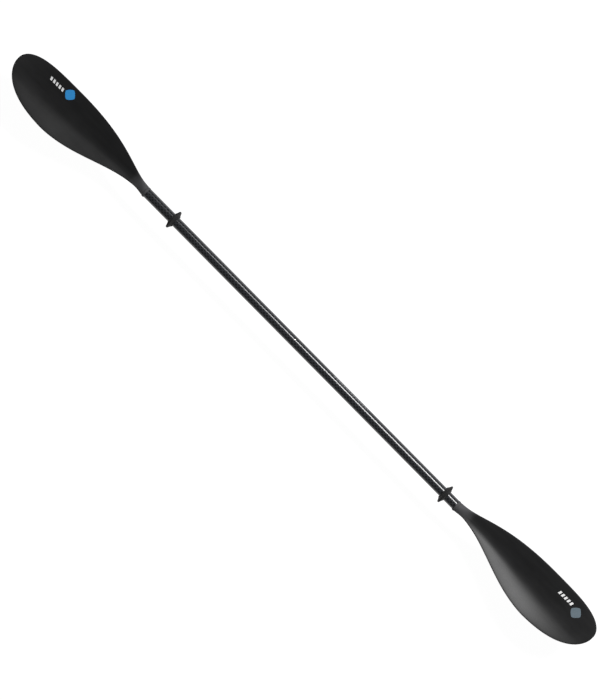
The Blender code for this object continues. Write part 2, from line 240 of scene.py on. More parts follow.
def moulded_nylon():
    """The blades' finish."""
    made, tree, shader = start_material(
        "glass_filled_nylon_moulded", IOR=1.53, Metallic=0.0, Specular_IOR_Level=0.40
    )
    streaks = grain(tree, STREAK_WIDTH, 4.0, STREAK_STRETCH)
    patches = grain(tree, GLOSS_PATCH, 3.0)
    spark = grain(tree, SPARK_GRAIN, 3.0)
    tone = add(
        tree,
        "ShaderNodeValToRGB",
        sockets={"Fac": streaks},
        stops=two_tones("0b0b0c", "121213"),
    )
    gloss = add(
        tree,
        "ShaderNodeMapRange",
        sockets={"Value": patches, "From Min": 0.3, "From Max": 0.7, "To Min": 0.38, "To Max": 0.43},
    )
    collar = collar_mask(tree)
    scuffed = add(
        tree,
        "ShaderNodeMix",
        {"data_type": "RGBA"},
        {"Factor": collar, "A": tone.outputs["Color"], "B": linear("3a3a3c")},
    )
    dulled = add(
        tree,
        "ShaderNodeMix",
        {"data_type": "FLOAT"},
        {"Factor": collar, "A": gloss.outputs["Result"], "B": COLLAR_ROUGHNESS},
    )
    tree.links.new(scuffed.outputs["Result"], shader.inputs["Base Color"])
    tree.links.new(dulled.outputs["Result"], shader.inputs["Roughness"])
    pitted = add(
        tree,
        "ShaderNodeBump",
        sockets={"Height": spark, "Distance": SPARK_DEPTH, "Strength": 0.5},
    )
    flowed = add(
        tree,
        "ShaderNodeBump",
        sockets={
            "Height": streaks,
            "Distance": STREAK_DEPTH,
            "Strength": 0.4,
            "Normal": pitted.outputs["Normal"],
        },
    )
    tree.links.new(flowed.outputs["Normal"], shader.inputs["Normal"])
    return made


nylon = moulded_nylon()
print(nylon.name, len(nylon.node_tree.nodes), "nodes")

# %% [markdown]
# ## Fibreglass tube, filament wound
# The shaft is wound from glass roving in black resin, ground round and dipped in clear resin. The
# eye sees a deep black with a narrow crisp highlight and, faintly, the crossing bands of the winding,
# 8 mm apart. Two wave patterns, one for each way of winding, make the bands. The clear skin is a
# coat, so the resin under it mirrors nothing of its own. Epoxy's IOR is 1.55. The printed label on
# the right half becomes a plain silver bar with ticks, painted by its place on the tube.

# %% Shaft fibreglass
PRINT_START = 118 * MM
PRINT_END = 247 * MM
PRINT_ANGLE = math.radians(51)  # from straight up, towards the narrow side
PRINT_HALF = 2.6 * MM
TICK_HALF_PITCH = 4.5 * MM
TICK_HALF_GAP = 1.6 * MM
WINDING_PITCH = 8 * MM
WINDING_ANGLE = math.radians(48)
WINDING_DEPTH = 0.02 * MM
WAVE_SPACING = math.tau / 20  # of a wave node's bands, at scale 1


def winding(tree, angle):
    """Slanted bands laid on from above. On the tube's sides they stretch, as a projection does."""
    place = add(tree, "ShaderNodeTexCoord").outputs["Object"]
    turned = add(tree, "ShaderNodeMapping", sockets={"Vector": place, "Rotation": (0, 0, angle)})
    bands = add(
        tree,
        "ShaderNodeTexWave",
        {"wave_type": "BANDS", "bands_direction": "X"},
        {
            "Vector": turned.outputs["Vector"],
            "Scale": WAVE_SPACING / WINDING_PITCH,
            "Distortion": 0.8,
            "Detail": 1.0,
        },
    )
    return bands.outputs["Fac"]


def print_mask(tree):
    """1 on the printed bar: a strip along the tube's upper side, with gaps between its ticks."""
    place = add(tree, "ShaderNodeTexCoord").outputs["Object"]
    axes = add(tree, "ShaderNodeSeparateXYZ", sockets={"Vector": place}).outputs
    ticks = add(
        tree, "ShaderNodeMath", {"operation": "PINGPONG"}, {0: axes["X"], 1: TICK_HALF_PITCH}
    )
    side = AXIS.y + SHAFT_R * math.sin(PRINT_ANGLE)
    half_width = PRINT_HALF * math.cos(PRINT_ANGLE)
    middle = (PRINT_START + PRINT_END) / 2
    half_length = (PRINT_END - PRINT_START) / 2
    tests = [
        ("COMPARE", {0: axes["Y"], 1: side, 2: half_width}),
        ("COMPARE", {0: axes["X"], 1: middle, 2: half_length}),
        ("GREATER_THAN", {0: axes["Z"], 1: AXIS.z}),
        ("GREATER_THAN", {0: ticks.outputs["Value"], 1: TICK_HALF_GAP}),
    ]
    passed = [add(tree, "ShaderNodeMath", {"operation": kind}, values) for kind, values in tests]
    mask = passed[0].outputs["Value"]
    for test in passed[1:]:
        both = {0: mask, 1: test.outputs["Value"]}
        mask = add(tree, "ShaderNodeMath", {"operation": "MULTIPLY"}, both).outputs["Value"]
    return mask


def wound_fibreglass(with_print):
    """A tube's finish, with the printed bar or without it."""
    made, tree, shader = start_material(
        "fibreglass_wound_" + ("printed" if with_print else "plain"),
        IOR=1.55,
        Metallic=0.0,
        Roughness=0.50,
        Specular_IOR_Level=0.0,
        Coat_Weight=1.0,
        Coat_Roughness=0.22,
        Coat_IOR=1.55,
    )
    crossing = add(
        tree,
        "ShaderNodeMath",
        {"operation": "MAXIMUM"},
        {0: winding(tree, WINDING_ANGLE), 1: winding(tree, -WINDING_ANGLE)},
    ).outputs["Value"]
    tone = add(
        tree,
        "ShaderNodeValToRGB",
        sockets={"Fac": crossing},
        stops=two_tones("101113", "2c2e32", (0.62, 1.0)),
    ).outputs["Color"]
    if with_print:
        inked = add(
            tree,
            "ShaderNodeMix",
            {"data_type": "RGBA"},
            {"Factor": print_mask(tree), "A": tone, "B": linear("5e5f61")},
        )
        tone = inked.outputs["Result"]
    tree.links.new(tone, shader.inputs["Base Color"])
    raised = add(
        tree,
        "ShaderNodeBump",
        sockets={"Height": crossing, "Distance": WINDING_DEPTH, "Strength": 0.1},
    )
    tree.links.new(raised.outputs["Normal"], shader.inputs["Normal"])
    return made


shaft_left = wound_fibreglass(False)
shaft_right = wound_fibreglass(True)
print("shaft finishes:", shaft_left.name, shaft_right.name)

# %% [markdown]
# ## Rubber, steel, printed film and the rest
# The drip rings are soft moulded rubber: matte, with a slight grain and a dusty sheen where light
# grazes them. The button, its spring and the rivets are stainless steel, so their colour is the
# metal's own reflection, its IOR stays at the default, and drawing leaves fine scratches. The sleeve
# is fibreglass ground to a dull satin, its cap is grey polypropylene, and the plugs are matte foam
# with cut cells. The marks are satin vinyl film, printed in one colour each. The grain of these last
# ones is drawn 1 to 3 mm wide, coarser than the real one, so that it shows.

# %% Rubber
DUST_PATCH = 9 * MM
RUBBER_GRAIN = 1.2 * MM
RUBBER_DEPTH = 0.06 * MM


def moulded_rubber():
    """The drip rings' and the seal's finish."""
    made, tree, shader = start_material(
        "rubber_moulded",
        IOR=1.52,
        Metallic=0.0,
        Specular_IOR_Level=0.30,
        Sheen_Weight=0.02,
        Sheen_Roughness=0.5,
    )
    dust = grain(tree, DUST_PATCH, 5.0)
    tone = add(
        tree,
        "ShaderNodeValToRGB",
        sockets={"Fac": dust},
        stops=two_tones("0d0d0e", "141415"),
    )
    dull = add(
        tree,
        "ShaderNodeMapRange",
        sockets={"Value": dust, "From Min": 0.3, "From Max": 0.7, "To Min": 0.72, "To Max": 0.84},
    )
    skin = add(
        tree,
        "ShaderNodeBump",
        sockets={"Height": grain(tree, RUBBER_GRAIN), "Distance": RUBBER_DEPTH, "Strength": 0.6},
    )
    tree.links.new(tone.outputs["Color"], shader.inputs["Base Color"])
    tree.links.new(dull.outputs["Result"], shader.inputs["Roughness"])
    tree.links.new(skin.outputs["Normal"], shader.inputs["Normal"])
    return made


rubber = moulded_rubber()
print(rubber.name, len(rubber.node_tree.nodes), "nodes")

# %% Steel
SCRATCH_WIDTH = 0.9 * MM
SCRATCH_STRETCH = (1.0, 0.15, 1.0)
SCRATCH_DEPTH = 0.01 * MM


def stamped_steel(name, roughness):
    """Stainless steel with fine scratches that make it a little duller in places."""
    made, tree, shader = start_material(name, Metallic=1.0)
    scratches = grain(tree, SCRATCH_WIDTH, 4.0, SCRATCH_STRETCH)
    tone = add(
        tree,
        "ShaderNodeValToRGB",
        sockets={"Fac": scratches},
        stops=two_tones("bdbab4", "d2cfc9"),
    )
    spread = add(
        tree,
        "ShaderNodeMapRange",
        sockets={
            "Value": scratches,
            "From Min": 0.3,
            "From Max": 0.7,
            "To Min": roughness - 0.04,
            "To Max": roughness + 0.06,
        },
    )
    scored = add(
        tree,
        "ShaderNodeBump",
        sockets={"Height": scratches, "Distance": SCRATCH_DEPTH, "Strength": 0.4},
    )
    tree.links.new(tone.outputs["Color"], shader.inputs["Base Color"])
    tree.links.new(spread.outputs["Result"], shader.inputs["Roughness"])
    tree.links.new(scored.outputs["Normal"], shader.inputs["Normal"])
    return made


bright_steel = stamped_steel("stainless_steel_polished", 0.16)
spring_steel = stamped_steel("stainless_steel_rolled", 0.28)
print(bright_steel.name, spring_steel.name)


# %% Plastics, foam and film
def speckled(name, dark, light, roughness, speck_size, depth):
    """A plastic, foam or film with two close tones and a fine grain."""
    made, tree, shader = start_material(name, IOR=1.5, Metallic=0.0, Roughness=roughness)
    speck = grain(tree, speck_size, 3.0)
    tone = add(
        tree,
        "ShaderNodeValToRGB",
        sockets={"Fac": speck},
        stops=two_tones(dark, light),
    )
    uneven = add(
        tree,
        "ShaderNodeBump",
        sockets={"Height": speck, "Distance": depth, "Strength": 0.5},
    )
    tree.links.new(tone.outputs["Color"], shader.inputs["Base Color"])
    tree.links.new(uneven.outputs["Normal"], shader.inputs["Normal"])
    return made


sleeve = speckled("fibreglass_sleeve_ground", "1d1e20", "292a2c", 0.45, 2 * MM, 0.03 * MM)
cap_plastic = speckled("polypropylene_cap_moulded", "4c4d50", "57585b", 0.50, 1.5 * MM, 0.04 * MM)
foam = speckled("polyethylene_foam_cut", "74757a", "8a8b90", 0.95, 1.2 * MM, 0.3 * MM)
white_film = speckled("vinyl_film_white", "dcdcdc", "e6e6e6", 0.42, 3 * MM, 0.01 * MM)
blue_film = speckled("vinyl_film_blue", "2a86c8", "2f8ed0", 0.42, 3 * MM, 0.01 * MM)
slate_film = speckled("vinyl_film_slate", "5b6870", "626f77", 0.42, 3 * MM, 0.01 * MM)
print("finishes:", len(bpy.data.materials))

# %% [markdown]
# ## The shape of a blade
# A touring blade is asymmetric: one edge runs further out, so that the area on both sides of the
# shaft catches the same water. It is spooned along its length and slightly cupped across. A
# subdivided cage would lose the exact outline, so the surface is a formula: two edge curves, a
# middle surface that dips and lifts, and a thickness that turns from a round neck into a thin
# plate. The ridge that carries the neck into the plate fades out half way along.

# %% Sizes of a blade
# The outline, seen from the power face. Curves are (from the lip, from the axis) in metres.
NARROW_REACH = 64.9 * MM  # +Y edge
WIDE_REACH = 82.3 * MM  # -Y edge
NARROW_CURVE = ((0.007, 0.0150), (0.072, 0.015), (0.124, NARROW_REACH), (0.312, NARROW_REACH))
WIDE_CURVE = ((-0.008, 0.0130), (0.116, -0.001), (0.203, WIDE_REACH), (0.341, WIDE_REACH))
TIP_SPAN = 200 * MM  # the outline closes over this length
TIP_ACROSS = 9 * MM  # the tip lies this far towards the narrow side
TIP_BLUNT = 0.4 * MM
NARROW_TIP = (4.0, 0.455)  # the power and the root of the closing curve
WIDE_TIP = (2.7, 0.50)
COLLAR_FLARE = 3.2 * MM  # the neck widens again just behind the lip
COLLAR_FADE = (4 * MM, 40 * MM)
# The thickness, from a round neck to a thin plate, and the spine that carries one into the other.
NECK_R = 13.8 * MM
NECK_END = 105 * MM  # the back of the round neck has become a plate here
FACE_NECK = (12 * MM, 52 * MM)  # the face of the neck flattens over this stretch
NECK_EDGE = 1.0  # powers that round the edges: a circle's at the neck,
PLATE_EDGE = 0.4  # and a blunter one on the plate
PLATE_HALF = 2.2 * MM
TIP_HALF = 1.4 * MM
PLATE_THINS = 330 * MM
SPINE_END = 250 * MM
SPINE_POWER = 1.6
SPINE_WIDTH = 17 * MM
SPINE_SOFT = 0.22
FACE_SPINE = 0.10  # the spine is lower on the power face than on the back
FACE_SPINE_WIDTH = 10 * MM
# The spoon along the blade, and the cup across it, which opens from a crease.
TIP_LIFT = 34 * MM
LIFT_POWER = 2.6
DIP = 39.6 * MM
DIP_SOFT = 0.06
CUP_SLOPE = 0.28  # both sides rise from the crease
CUP_STARTS = (5 * MM, 65 * MM)
CUP_FADES = 300 * MM
NARROW_SHARE = 0.6  # the narrow side rises less
TIP_CUP = 0.45
CREASE_DRIFT = 19 * MM  # the crease leaves the axis towards the wide side
CREASE_LEAVES = (55 * MM, 420 * MM)
CREASE_SHARP = 5 * MM
CREASE_SOFT = 24 * MM
CREASE_OPENS = (80 * MM, 360 * MM)
print(f"blade {(NARROW_REACH + WIDE_REACH) / MM:.1f} mm wide")

# %% Outline of a blade
HALVINGS = 40  # of the search for a place on an edge curve


def cubic(values, t):
    """The value at t on a cubic curve with four control values."""
    a, b, c, d = values
    s = 1.0 - t
    return s**3 * a + 3 * s * s * t * b + 3 * s * t * t * c + t**3 * d


def edge_reach(along, curve, tip, tip_across):
    """How far one edge lies from the shaft's axis."""
    places, reaches = zip(*curve)
    low, high = 0.0, 1.0
    for _ in range(HALVINGS):
        middle = (low + high) / 2
        if cubic(places, middle) < along:
            low = middle
        else:
            high = middle
    reach = cubic(reaches, low)
    left = (BLADE_LENGTH - along + TIP_BLUNT) / TIP_SPAN
    if left >= 1.0:
        return reach
    power, root = tip
    return mix(tip_across, reach, (1.0 - (1.0 - left) ** power) ** root)


@functools.cache
def outline(along):
    """Y of the wide edge and of the narrow edge, kept because a whole section asks for them."""
    narrow = edge_reach(along, NARROW_CURVE, NARROW_TIP, TIP_ACROSS)
    wide = edge_reach(along, WIDE_CURVE, WIDE_TIP, -TIP_ACROSS)
    flare = COLLAR_FLARE * (1.0 - smooth(along, *COLLAR_FADE))
    return -wide - flare, narrow


WIDEST = 290 * MM
print("edges where it is widest:", [round(y / MM, 1) for y in outline(WIDEST)], "mm")


# %% Faces of a blade
def crease(along):
    """Y of the line from which both sides of the blade rise."""
    return -CREASE_DRIFT * smooth(along, *CREASE_LEAVES)


def middle_height(along, across):
    """The spooned and cupped surface half way through the blade."""
    u = along / BLADE_LENGTH
    line = TIP_LIFT * u**LIFT_POWER - DIP * u * u * (1.0 - u) / (u + DIP_SOFT)
    fade = 1.0 - (1.0 - TIP_CUP) * smooth(along, CUP_FADES, BLADE_LENGTH)
    slope = CUP_SLOPE * smooth(along, *CUP_STARTS) * fade
    soft = mix(CREASE_SHARP, CREASE_SOFT, smooth(along, *CREASE_OPENS))
    away = across - crease(along)
    rise = slope * (math.hypot(away, soft) - soft)
    return line + rise * (1.0 if away < 0 else NARROW_SHARE)


def spine(along, across, plate, width):
    """The ridge that carries the neck into the plate, above a plate of this thickness."""
    left = max(0.0, 1.0 - along / SPINE_END)
    crest = PLATE_HALF + (NECK_R - PLATE_HALF) * left**SPINE_POWER
    away = math.hypot((across - crease(along)) / width, SPINE_SOFT) - SPINE_SOFT
    return max(0.0, crest - plate) * max(0.0, 1.0 - away) ** SPINE_POWER


def face_height(along, across, side):
    """Z of the power face (side 1) or of the back (side -1)."""
    low, high = outline(along)
    centred = (2 * across - low - high) / (high - low)
    start, end = FACE_NECK if side > 0 else (0.0, NECK_END)
    flat_share = smooth(along, start, end)
    flat_half = mix(PLATE_HALF, TIP_HALF, smooth(along, PLATE_THINS, BLADE_LENGTH))
    plate = mix(NECK_R, flat_half, flat_share)
    edge_power = mix(NECK_EDGE, PLATE_EDGE, flat_share)
    edge = math.sqrt(max(0.0, 1.0 - centred * centred)) ** edge_power
    if side > 0:
        ridge = FACE_SPINE * spine(along, across, plate, FACE_SPINE_WIDTH)
    else:
        ridge = spine(along, across, plate, SPINE_WIDTH)
    return middle_height(along, across) + side * (plate + ridge) * edge


print(f"power face {face_height(WIDEST, 0.0, 1) / MM:.1f} mm from the axis where it is widest")

# %% [markdown]
# ## Blade meshes
# The sections are closest together at the neck and at the tip, where the outline turns fastest, so
# their spacing follows a cosine. Round each section the points follow a cosine too, which puts
# them close together at the rounded edges. The lip that the tube butts against is part of it.

# %% Build both blades
SECTIONS = 150
SECTION_POINTS = 120
LIP_R = 15.7 * MM
LIP_SHIFT = -0.6 * MM
LIP_LENGTH = 7 * MM
LIP_ROUND = 1.2 * MM
LIP_STEPS = 4
NECK_START = 9.5 * MM
SPIGOT_R = 13 * MM
SPIGOT_LENGTH = 48 * MM
SPIGOT_CHAMFER = 1 * MM


def section(along, hand):
    """A ring of points round the blade. hand is -1 for the left blade and 1 for the right."""
    low, high = outline(along)
    ring = []
    for a in circle(SECTION_POINTS):
        across = (low + high) / 2 + (high - low) / 2 * math.cos(a)
        side = 1 if math.sin(a) >= 0 else -1
        ring.append((hand * (LIP_X + along), across, face_height(along, across, side)))
    return ring


def hoop(x, radius, steps=SECTION_POINTS, shift=0.0):
    """A circle round the shaft's axis, or shifted sideways from it."""
    return [(x, shift + radius * math.cos(a), radius * math.sin(a)) for a in circle(steps)]


def lip_rings(hand):
    """The spigot's end, the square step and the rounded lip."""
    rings = [
        hoop(hand * (LIP_X - SPIGOT_LENGTH), SPIGOT_R - SPIGOT_CHAMFER),
        hoop(hand * (LIP_X - SPIGOT_LENGTH + SPIGOT_CHAMFER), SPIGOT_R),
        hoop(hand * LIP_X, SPIGOT_R),
    ]
    quarter = [math.pi / 2 * i / LIP_STEPS for i in range(LIP_STEPS + 1)]
    corner = [(LIP_ROUND * (1 - math.cos(a)), LIP_ROUND * (1 - math.sin(a))) for a in quarter]
    lip = [(start, LIP_R - inset) for start, inset in corner]
    lip += [(LIP_LENGTH - start, LIP_R - inset) for inset, start in corner]
    for along, radius in lip:
        rings.append(hoop(hand * (LIP_X + along), radius, shift=LIP_SHIFT))
    return rings


def build_blade(hand, side_name):
    node = f"{side_name}_blade"
    bm = bmesh.new()
    rings = lip_rings(hand)
    for i in range(SECTIONS + 1):
        share = (1.0 - math.cos(math.pi * i / SECTIONS)) / 2
        rings.append(section(mix(NECK_START, BLADE_LENGTH, share), hand))
    loft(bm, rings)
    finish_piece(f"{side_name}_blade_moulding", bm, nylon, f"{side_name}_half", node)


for hand, side_name in ((-1, "left"), (1, "right")):
    build_blade(hand, side_name)

# %% [markdown]
# ## Half shafts
# Each tube is a turned outline with a thin eased edge at both ends. The left one has three round
# holes, 75 degrees apart, for the button. A Boolean drills them, and the tube has closely spaced
# rings around the holes, so that the smooth shading of the long plain stretches isn't disturbed.

# %% Turn and drill
DRILL_STEPS = 48
DRILL_FROM = 7 * MM  # from the shaft's axis
DRILL_TO = 20 * MM
RIM_EASE = 0.35 * MM
RIM_SINK = 0.1 * MM  # the eased rim's middle lies this far under the skin
RING_SPACING = 1.25 * MM


def turn(bm, profile, steps):
    """Turns a closed (x, radius) outline about the shaft's axis."""
    loft(bm, [hoop(x, r, steps) for x, r in profile], closed=True)


def upright(bm, profile, steps, x, angle):
    """Turns an open (height, radius) outline about a line that leaves the axis at an angle."""
    rings = [[(r * math.cos(a), r * math.sin(a), z) for a in circle(steps)] for z, r in profile]
    place = Matrix.Translation((x, 0, 0)) @ Matrix.Rotation(-angle, 4, "X")
    loft(bm, [[place @ Vector(p) for p in ring] for ring in rings])


def drill(piece, x, angle, radius, wall_r=SHAFT_R):
    """Cuts a round hole with a slightly eased rim through one wall."""
    bm = bmesh.new()
    skin = wall_r - RIM_SINK
    wide = radius + 2 * RIM_EASE
    profile = [(DRILL_FROM, radius), (skin - RIM_EASE, radius), (skin + RIM_EASE, wide)]
    profile.append((DRILL_TO, wide))
    upright(bm, profile, DRILL_STEPS, x, angle)
    bmesh.ops.recalc_face_normals(bm, faces=bm.faces)
    mesh = bpy.data.meshes.new("hole_cutter")
    bm.to_mesh(mesh)
    bm.free()
    mesh.transform(Matrix.Translation(AXIS))
    cutter = bpy.data.objects.new("hole_cutter", mesh)
    bpy.context.scene.collection.objects.link(cutter)
    cut = piece.modifiers.new("hole", "BOOLEAN")
    cut.operation = "DIFFERENCE"
    cut.solver = "EXACT"
    cut.object = cutter
    return cutter


def apply_cuts(piece, cutters):
    """Keeps the cut mesh and removes the cutters."""
    bpy.context.view_layer.update()
    evaluated = piece.evaluated_get(bpy.context.evaluated_depsgraph_get())
    cut_mesh = bpy.data.meshes.new_from_object(evaluated)
    cut_mesh.shade_smooth()
    cut_mesh.set_sharp_from_angle(angle=CRISP_ANGLE)
    piece.modifiers.clear()
    piece.data = cut_mesh
    for cutter in cutters:
        bpy.data.objects.remove(cutter)
    print(f"{piece.name}: {len(cut_mesh.vertices)} points after drilling")


def rings_near(x, reach):
    """Places of extra rings around a hole, so that its cut doesn't bend the shading far away."""
    count = round(reach / RING_SPACING)
    return [x + RING_SPACING * i for i in range(-count, count + 1)]


# %% Build both tubes
TUBE_STEPS = 128
TUBE_EASE = 0.25 * MM
TUBE_MARGIN = 4 * MM  # the extra rings reach this far past a hole
BORE_R = 13.3 * MM
HOLE_R = 3.9 * MM
RIVET_HOLE_R = 2.6 * MM
button_low, button_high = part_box("snap_button")
BUTTON_X = (button_low[0] + button_high[0]) / 2
BUTTON_ANGLE = math.radians(36)
FEATHER_STEP = math.radians(75)
rivet_low, rivet_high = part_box("right_blade_rivet")
RIVET_X = (rivet_low[0] + rivet_high[0]) / 2


def tube_outline(start, end, close_rings):
    """Outer skin from start to end, then the bore back again."""
    outer = [(start, SHAFT_R - TUBE_EASE), (start + TUBE_EASE, SHAFT_R)]
    outer += [(x, SHAFT_R) for x in close_rings]
    outer += [(end - TUBE_EASE, SHAFT_R), (end, SHAFT_R - TUBE_EASE)]
    bore = [(end, BORE_R)] + [(x, BORE_R) for x in reversed(close_rings)] + [(start, BORE_R)]
    return outer + bore


def build_tube(side_name, start, end, finish, holes):
    """One half shaft; holes are (x, angle, radius)."""
    places = set()
    for x, _, radius in holes:
        places.update(round(near, 6) for near in rings_near(x, radius + TUBE_MARGIN))
    bm = bmesh.new()
    turn(bm, tube_outline(start, end, sorted(places)), TUBE_STEPS)
    node = f"{side_name}_shaft_tube"
    tube = finish_piece(f"{side_name}_tube_wound", bm, finish, f"{side_name}_half", node)
    apply_cuts(tube, [drill(tube, x, angle, radius) for x, angle, radius in holes])


button_holes = [(BUTTON_X, BUTTON_ANGLE + step * FEATHER_STEP, HOLE_R) for step in (-1, 0, 1)]
left_rivet_hole = (-RIVET_X, math.pi, RIVET_HOLE_R)
right_rivet_hole = (RIVET_X, math.pi, RIVET_HOLE_R)
build_tube("left", -LIP_X + GAP, -GAP / 2, shaft_left, [left_rivet_hole] + button_holes)
build_tube("right", GAP / 2, LIP_X - GAP, shaft_right, [right_rivet_hole])

# %% [markdown]
# ## Ferrule
# A sleeve is bonded into the right tube and slides into the left one. It shows when the halves are
# pulled apart: ground fibreglass with a chamfered end, a groove for the seal and a hole for the
# button. It's turned and drilled like the tubes, and the seal is a small torus in the groove.

# %% Build the sleeve and its seal
sleeve_low, sleeve_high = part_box("ferrule_insert")
seal_low, seal_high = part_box("ferrule_o_ring")
SLEEVE_R = BORE_R - GAP
SLEEVE_BORE_R = 10.5 * MM
SLEEVE_LEAD = 1.6 * MM  # the chamfer that guides the sleeve in
SLEEVE_MARGIN = 3 * MM
GROOVE_R = 11.6 * MM
GROOVE_HALF = 1 * MM
SEAL_STEPS = 96
SEAL_POINTS = 20


def build_sleeve():
    start, end = sleeve_low[0], sleeve_high[0]
    groove = (seal_low[0] + seal_high[0]) / 2
    near = rings_near(BUTTON_X, HOLE_R + SLEEVE_MARGIN)
    profile = [(start, SLEEVE_R - SLEEVE_LEAD / 2), (start + SLEEVE_LEAD, SLEEVE_R)]
    profile += [(x, SLEEVE_R) for x in near]
    profile += [(groove - GROOVE_HALF, SLEEVE_R), (groove - GROOVE_HALF, GROOVE_R)]
    profile += [(groove + GROOVE_HALF, GROOVE_R), (groove + GROOVE_HALF, SLEEVE_R)]
    profile += [(end, SLEEVE_R), (end, SLEEVE_BORE_R)]
    profile += [(x, SLEEVE_BORE_R) for x in reversed(near)] + [(start, SLEEVE_BORE_R)]
    bm = bmesh.new()
    turn(bm, profile, TUBE_STEPS)
    ferrule = finish_piece("ferrule_sleeve", bm, sleeve, "right_half", "ferrule_insert")
    apply_cuts(ferrule, [drill(ferrule, BUTTON_X, BUTTON_ANGLE, HOLE_R, SLEEVE_R)])


def build_seal():
    centre = (seal_low[0] + seal_high[0]) / 2
    section_r = (seal_high[0] - seal_low[0]) / 2
    ring_r = (seal_high[2] - seal_low[2]) / 2 - section_r
    profile = []
    for a in circle(SEAL_POINTS):
        profile.append((centre + section_r * math.cos(a), ring_r + section_r * math.sin(a)))
    bm = bmesh.new()
    turn(bm, profile, SEAL_STEPS)
    finish_piece("ferrule_seal_ring", bm, rubber, "ferrule_seal", "ferrule_o_ring")


build_sleeve()
build_seal()

# %% [markdown]
# ## Snap button
# The button is a deep-drawn steel cap on a leaf spring. It is turned with a fine dome, so that it
# mirrors the light as one bright spot.

# %% Build the button
BUTTON_R = HOLE_R - GAP
BUTTON_TOP = 13.1 * MM
BUTTON_DOME = 1.6 * MM
BUTTON_SHOULDER = 5.5 * MM
BUTTON_FILLET = 0.3 * MM
FLANGE_R = 5.2 * MM
FLANGE_THICK = 1 * MM
FLANGE_EASE = 0.2 * MM
BUTTON_STEPS = 64
DOME_STEPS = 14
DOME_FLAT = 0.04  # the small lid on top, as a share of the radius


def build_button():
    """The flange under the tube's wall, the neck through the hole and the dome."""
    bottom = BUTTON_SHOULDER - FLANGE_THICK
    profile = [
        (bottom, FLANGE_R - FLANGE_EASE),
        (bottom + FLANGE_EASE, FLANGE_R),
        (BUTTON_SHOULDER - FLANGE_EASE, FLANGE_R),
        (BUTTON_SHOULDER, FLANGE_R - FLANGE_EASE),
        (BUTTON_SHOULDER, BUTTON_R + FLANGE_EASE),
        (BUTTON_SHOULDER + BUTTON_FILLET, BUTTON_R),
    ]
    for i in range(DOME_STEPS):
        a = math.pi / 2 * i / DOME_STEPS
        height = BUTTON_TOP - BUTTON_DOME + BUTTON_DOME * math.sin(a)
        profile.append((height, BUTTON_R * math.cos(a)))
    profile.append((BUTTON_TOP, BUTTON_R * DOME_FLAT))
    bm = bmesh.new()
    upright(bm, profile, BUTTON_STEPS, BUTTON_X, BUTTON_ANGLE)
    finish_piece("button_cap", bm, bright_steel, "snap_button", "snap_button")


build_button()

# %% [markdown]
# ## Drip rings
# A drip ring is a short rubber sleeve with a thin flared rim that flings water off the shaft. The
# flanks curve up to the rim, so they are arcs of a power curve, and the rim leans a little towards
# the blade. The bore is 0.3 mm clear of the tube, and its mouth is rounded.

# %% Build the drip rings
RING_R = 29 * MM
RING_HALF = 8 * MM
COLLAR_R = 17.5 * MM
RIM_HALF = 3.0 * MM
RIM_ROUND = 2.5 * MM
RIM_LEAN = 1.0 * MM
RIM_STEPS = 8
RING_EASE = 0.6 * MM
EASE_CORNER = 0.3  # a point near the eased corner, as a share of the easing
FLANK_STEPS = 18
FLANK_LEANS = 0.85
FLANK_RISES = 1.2


def flank(side, rim):
    """From the collar's outer corner up to the rim; side is -1 or 1, rim is the flank's end in X."""
    foot = side * RING_HALF
    near = RING_EASE * EASE_CORNER
    points = [(foot, COLLAR_R - RING_EASE), (foot - side * near, COLLAR_R - near)]
    for i in range(1, FLANK_STEPS + 1):
        t = i / FLANK_STEPS
        radius = mix(COLLAR_R, RING_R - RIM_ROUND, t**FLANK_RISES)
        points.append((mix(foot, rim, t**FLANK_LEANS), radius))
    return points


def ring_outline(centre, hand):
    """Along the bore, up one flank, round the rim and down the other flank."""
    bore = SHAFT_R + GAP
    profile = [
        (RING_HALF - RING_EASE, bore),
        (-RING_HALF + RING_EASE, bore),
        (-RING_HALF, bore + RING_EASE),
    ]
    lean = hand * RIM_LEAN
    profile += flank(-1, lean - RIM_HALF)
    for i in range(1, RIM_STEPS):
        a = math.pi * i / RIM_STEPS
        radius = RING_R - RIM_ROUND + RIM_ROUND * math.sin(a)
        profile.append((lean - RIM_HALF * math.cos(a), radius))
    profile += flank(1, lean + RIM_HALF)[::-1]
    profile.append((RING_HALF, bore + RING_EASE))
    return [(centre + x, r) for x, r in profile]


for hand, side_name in ((-1, "left"), (1, "right")):
    node = f"{side_name}_drip_ring"
    low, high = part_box(node)
    bm = bmesh.new()
    turn(bm, ring_outline((low[0] + high[0]) / 2, hand), TUBE_STEPS)
    finish_piece(f"{side_name}_ring_rubber", bm, rubber, node, node)

# %% [markdown]
# ## Rivets
# On the back of each joint a blind rivet holds the spigot in the tube: a domed head with a small
# crater where the pulling stem snapped off.

# %% Build the rivets
RIVET_DEPTH = 7.5 * MM  # the shank ends this far from the shaft's axis
RIVET_R = 2.3 * MM
RIVET_STEPS = 40
HEAD_EDGE = 0.25 * MM
HEAD_EASE = 0.15 * MM
HEAD_DOME = 1.1 * MM
HEAD_STEPS = 8
HEAD_TURN = 0.8  # the dome stops at the crater, at this share of a quarter turn
CRATER = ((1.2 * MM, 0.26), (0.7 * MM, 0.22), (0.7 * MM, 0.05))  # height, share of the head


